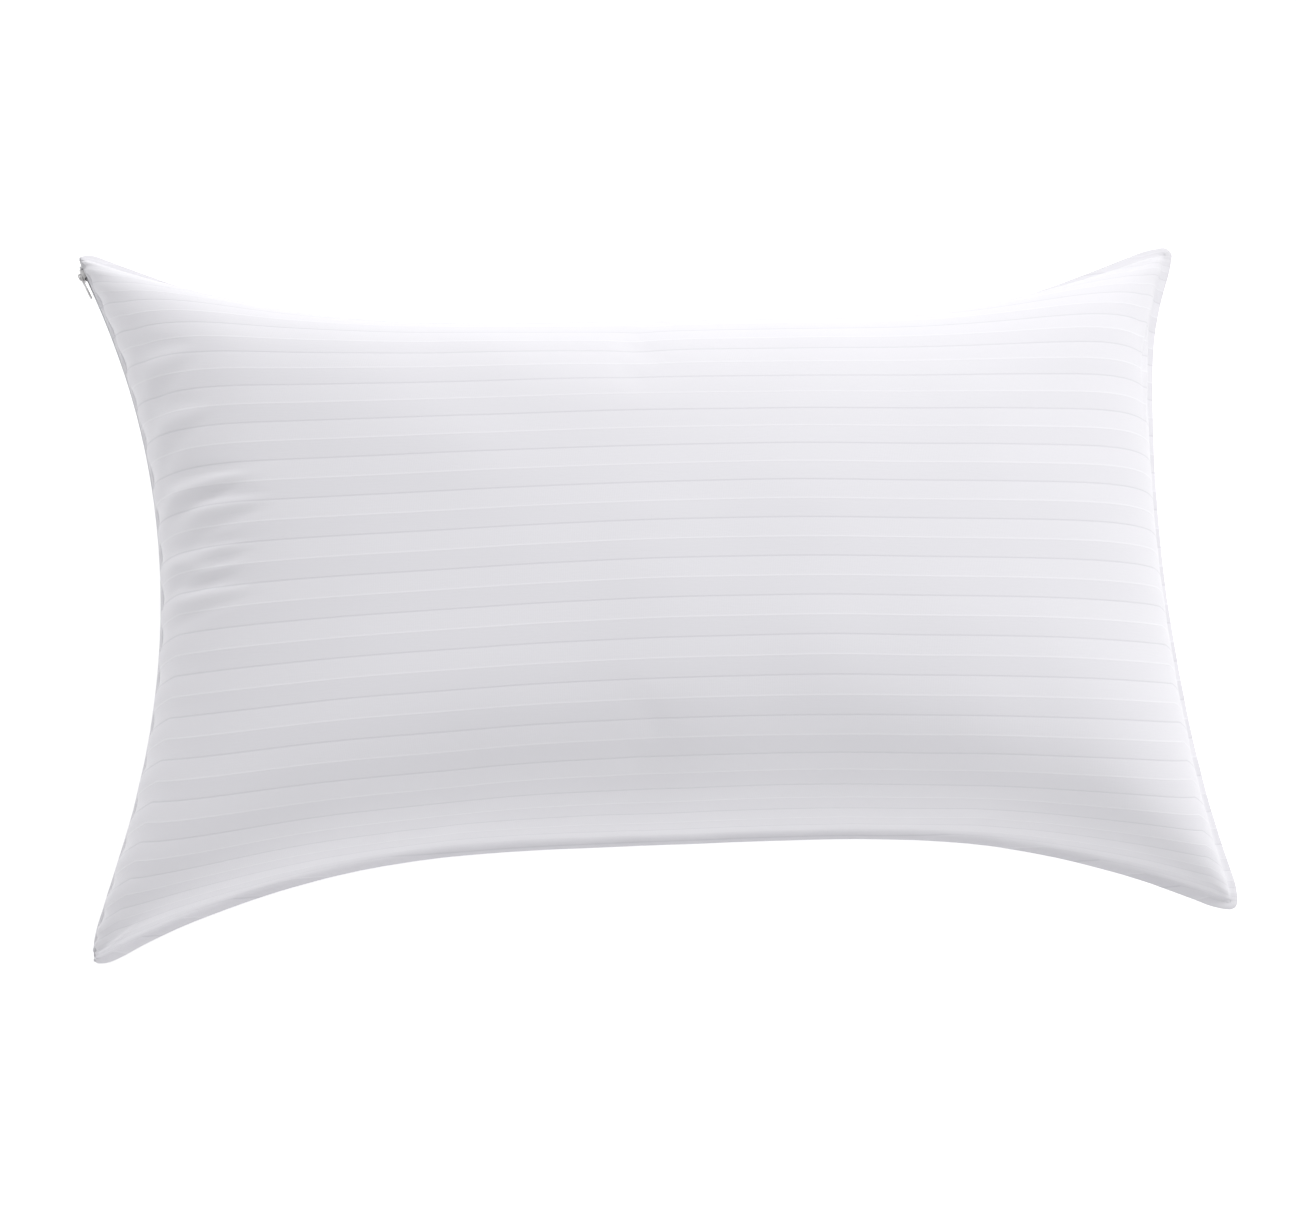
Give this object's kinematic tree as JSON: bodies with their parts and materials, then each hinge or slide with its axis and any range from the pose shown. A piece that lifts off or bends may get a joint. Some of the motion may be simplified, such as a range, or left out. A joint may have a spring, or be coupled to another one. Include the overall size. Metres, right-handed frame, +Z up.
{
  "type": "bed pillow",
  "caption": "Plump rectangular bed pillow with a striped sateen cover, concave sides, flat stitched edges and a coil zipper along one short end.",
  "frame": {"origin": "on the resting face, straight below the middle of the four seam corners", "axes": "+Z up out of the front panel, +X along the pillow away from the zipper end, +Y across it towards the closed end of the zipper"},
  "size_m": [0.7347, 0.4618, 0.228],
  "materials": {
    "sateen_cover": "white cotton sateen with alternating satin and plain bands half an inch wide",
    "liner_cloth": "plain white nonwoven lining",
    "fibre": "white polyester fibre filling",
    "thread": "white polyester sewing thread",
    "zipper_tape": "white woven polyester tape",
    "zipper_coil": "white nylon, for the coil and its moulded stops",
    "zipper_metal": "nickel-plated zinc"
  },
  "bodies": {
    "pillow": {"cover_front_panel": "sateen_cover", "cover_back_panel": "sateen_cover", "liner_front_panel": "liner_cloth", "liner_back_panel": "liner_cloth", "fibre_fill": "fibre", "seam_needle_thread": "thread", "seam_bobbin_thread": "thread", "zipper_stitch_front": "thread", "zipper_stitch_back": "thread", "zipper_tape_front": "zipper_tape", "zipper_tape_back": "zipper_tape", "zipper_coil_front": "zipper_coil", "zipper_coil_back": "zipper_coil", "zipper_top_stops": "zipper_coil", "zipper_bottom_stop": "zipper_coil"},
    "slider": {"zipper_slider": "zipper_metal"},
    "pull": {"zipper_pull": "zipper_metal"}
  },
  "joints": [
    {"name": "slider_travel", "type": "hinge", "parent": "pillow", "child": "slider", "pos_m": [-0.85588, 0, 0.11], "axis": [0, 0, -1], "range_deg": [0, 47.6]},
    {"name": "pull_swing", "type": "hinge", "parent": "slider", "child": "pull", "pos_m": [-0.36383, 0.22071, 0.11], "axis": [0, 0, -1], "range_deg": [0, 165]}
  ]
}
